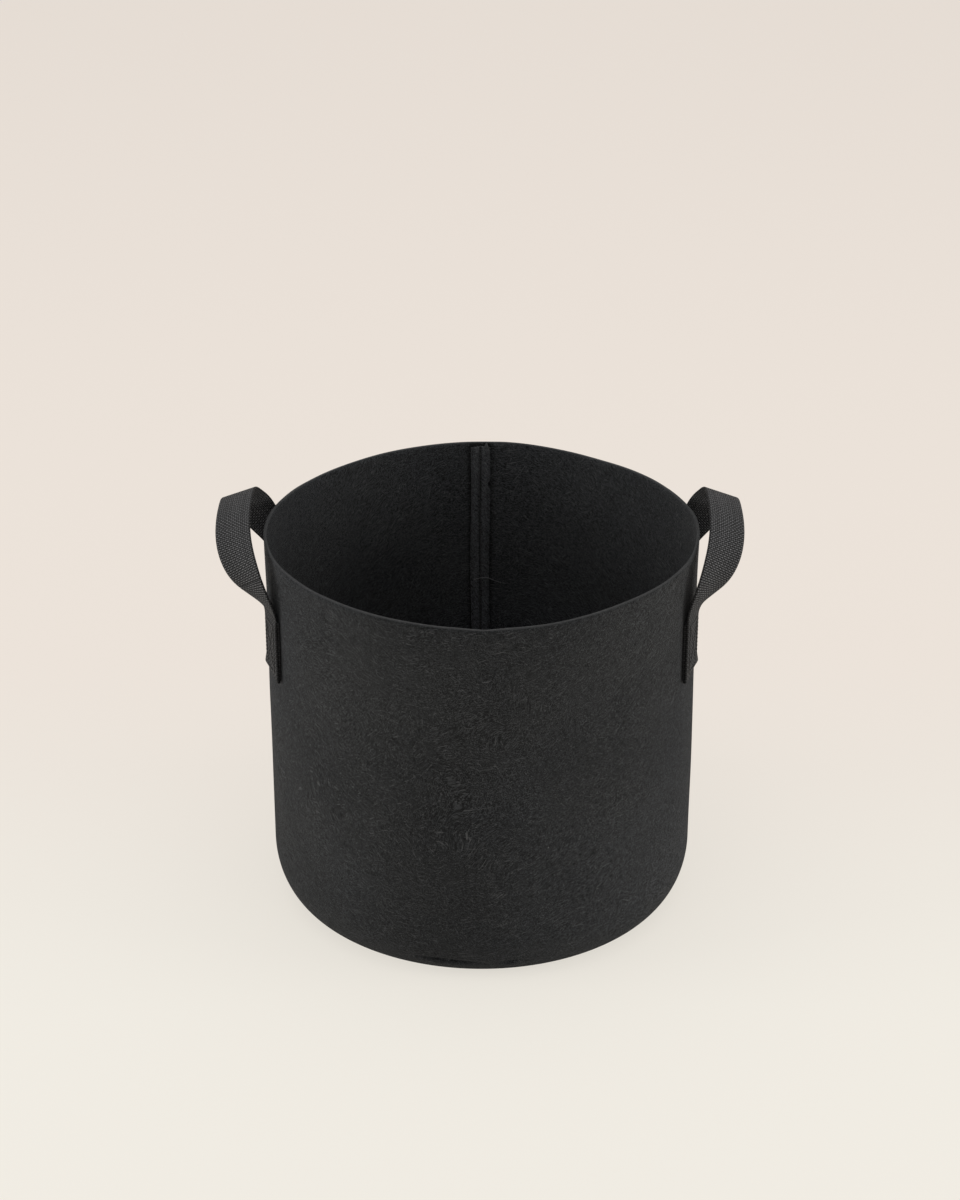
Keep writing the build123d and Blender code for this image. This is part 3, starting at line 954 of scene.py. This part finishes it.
def make_box_stitching(place):
    """A box of stitches with a cross in it, on the face of a sewn end."""
    shape = bmesh.new()
    wide = WEBBING_WIDTH / 2 - BOX_INSET
    tall = (END_TOP - END_BOTTOM) / 2 - BOX_INSET
    middle = (END_TOP + END_BOTTOM) / 2
    corners = [Vector(corner) for corner in ((-wide, -tall), (wide, -tall), (wide, tall), (-wide, tall))]
    rows = list(zip(corners, corners[1:] + corners[:1]))
    for slant in (1, -1):
        tip = Vector((wide, slant * tall)) * CROSS_SPAN
        rows.append((-tip, tip))
    for start, finish in rows:
        span = finish - start
        for share in stitch_places(span.length):
            spot = start + span * share
            turn = END_AZIMUTHS[place] + spot.x / END_OUTER
            outwards = direction(turn)
            sideways = Vector((-sin(turn), cos(turn), 0))
            along = sideways * span.x + Vector((0, 0, span.y))
            centre = outwards * (END_OUTER + BOX_THREAD * 0.25) + Vector((0, 0, middle + spot.y))
            centre += sideways * random.uniform(-1, 1) * 0.00012
            sew(shape, centre, along, outwards, width=BOX_THREAD)
    return add_stitches(f"{place}_box_stitches", shape)


def make_side_stitching():
    """The side seam's row down the middle of its allowances, and its back on the outside."""
    shape = bmesh.new()
    for inset, towards in ((FELT + 2 * PRESSED_PLY - 0.00055, -1), (0, 1)):
        for share in stitch_places(SIDE_ROW_TOP - SIDE_ROW_FOOT):
            height = SIDE_ROW_FOOT + (SIDE_ROW_TOP - SIDE_ROW_FOOT) * share
            sway = SEAM_SHIFT + 0.0003 * sin(height * SEAM_SWAY) + random.uniform(-1, 1) * 0.0001
            azimuth = pi / 2 - sway / RADIUS
            spot = wall_point(azimuth, height, inset)
            above = wall_point(azimuth, height + 0.002, inset)
            outwards = direction(azimuth) * towards
            along = (above - spot).normalized()
            outwards = (outwards - along * outwards.dot(along)).normalized()
            sew(shape, spot + outwards * THREAD * 0.10, along, outwards)
    return add_stitches("side_seam_stitches", shape)


def make_base_stitching():
    """The base seam's row, round the inside of the turned-up margins."""
    shape = bmesh.new()
    reach = BASE_RADIUS - FELT
    for share in stitch_places(2 * pi * reach):
        azimuth = 2 * pi * share
        inwards = -direction(azimuth)
        along = Vector((-sin(azimuth), cos(azimuth), 0))
        spot = Vector((reach * cos(azimuth), reach * sin(azimuth), BASE_ROW))
        sew(shape, spot + inwards * THREAD * 0.10, along, inwards)
    return add_stitches("base_seam_stitches", shape)


def make_thread_end():
    """The sewing thread's loose end, left hanging out of the side seam."""
    line = bpy.data.curves.new("side_seam_thread_end", "CURVE")
    line.dimensions = "3D"
    line.bevel_depth = THREAD_END
    line.bevel_resolution = 2
    line.use_fill_caps = True
    height = 0.1655
    start = wall_point(pi / 2, height, FELT + 2 * PRESSED_PLY)
    route = [
        (-0.0060, -0.0004, -0.0022),
        (-0.0030, -0.0012, -0.0006),
        (0, -0.0016, 0.0002),
        (0.0045, -0.0022, 0.0008),
        (0.0090, -0.0010, -0.0020),
        (0.0120, 0.0006, -0.0042),
        (0.0150, 0.0022, -0.0056),
    ]
    spline = line.splines.new("NURBS")
    spline.points.add(len(route) - 1)
    for point, step in zip(spline.points, route):
        point.co = (start.x + step[0], start.y + step[1], height + step[2], 1)
    spline.order_u = 3
    spline.use_endpoint_u = True
    loose = bpy.data.objects.new("side_seam_thread_end", line)
    bpy.context.scene.collection.objects.link(loose)
    bpy.context.view_layer.update()
    mesh = bpy.data.meshes.new_from_object(loose.evaluated_get(bpy.context.evaluated_depsgraph_get()))
    bpy.data.objects.remove(loose)
    end = bpy.data.objects.new("side_seam_thread_end", mesh)
    mesh.materials.clear()
    mesh.materials.append(loose_thread)
    bpy.context.scene.collection.objects.link(end)
    return end


# ---------------------------------------------------------------- floor

def make_floor():
    """Pale paper floor, warmer behind the bag, in a collection of its own."""
    stage = bpy.data.collections.new("stage")
    bpy.context.scene.collection.children.link(stage)
    shape = bmesh.new()
    bmesh.ops.create_circle(shape, cap_ends=True, segments=96, radius=FLOOR_RADIUS)
    mesh = bpy.data.meshes.new("floor")
    shape.to_mesh(mesh)
    shape.free()
    paint, recipe, surface = new_material("pale floor", 0.95, 0.1)
    back = recipe.parts(recipe.node("ShaderNodeTexCoord").outputs["Object"])["Y"]
    pale = recipe.mix(recipe.steps(back, -0.20, 0.40), FLOOR_NEAR, FLOOR_BEHIND)
    pale = recipe.mix(recipe.steps(back, 0.6, 1.5), pale, FLOOR_FAR)
    recipe.link(pale, surface.inputs["Base Color"])
    glow = recipe.node("ShaderNodeEmission")
    recipe.link(pale, glow.inputs["Color"])
    path = recipe.node("ShaderNodeLightPath").outputs
    looked_at = recipe.math("MAXIMUM", path["Is Camera Ray"], path["Is Glossy Ray"])
    looked_at = recipe.math("MAXIMUM", looked_at, path["Is Transmission Ray"])
    blend = recipe.node("ShaderNodeMixShader")
    recipe.link(recipe.product(looked_at, FLOOR_GLOW), blend.inputs["Fac"])
    recipe.link(surface.outputs[0], blend.inputs[1])
    recipe.link(glow.outputs[0], blend.inputs[2])
    recipe.link(blend.outputs[0], paint.node_tree.nodes["Material Output"].inputs["Surface"])
    mesh.materials.append(paint)
    floor_piece = bpy.data.objects.new("floor", mesh)
    stage.objects.link(floor_piece)
    floor_piece.location.z = -FLOOR_GAP


# ---------------------------------------------------------------- the bag

make_floor()

wall = make_wall()
base = make_base()
lower_ply = make_allowance("side_seam_lower_ply", LOWER_ALLOWANCE, FELT, ALLOWANCE_TOP - 0.001, 3)
upper_ply = make_allowance("side_seam_upper_ply", UPPER_ALLOWANCE, FELT + PRESSED_PLY, ALLOWANCE_TOP, 8)
for piece in (wall, base, lower_ply, upper_ply):
    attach(piece, "bag")
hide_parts("wall_panel")
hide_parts("base_panel")

for side, facing, lean in (("left", -1, LEFT_LEAN), ("right", 1, RIGHT_LEAN)):
    handle = make_handle(side, facing, lean)
    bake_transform(handle)
    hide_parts(f"{side}_handle", f"{side}_front_sewn_end", f"{side}_rear_sewn_end")

threads = [make_side_stitching(), make_base_stitching(), make_thread_end()]
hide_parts("side_seam_stitching")
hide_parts("base_seam_stitching")
for place in END_AZIMUTHS:
    box = make_box_stitching(place)
    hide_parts(f"{place}_box_stitching")
    threads.append(box)
for piece in threads:
    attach(piece, "bag")
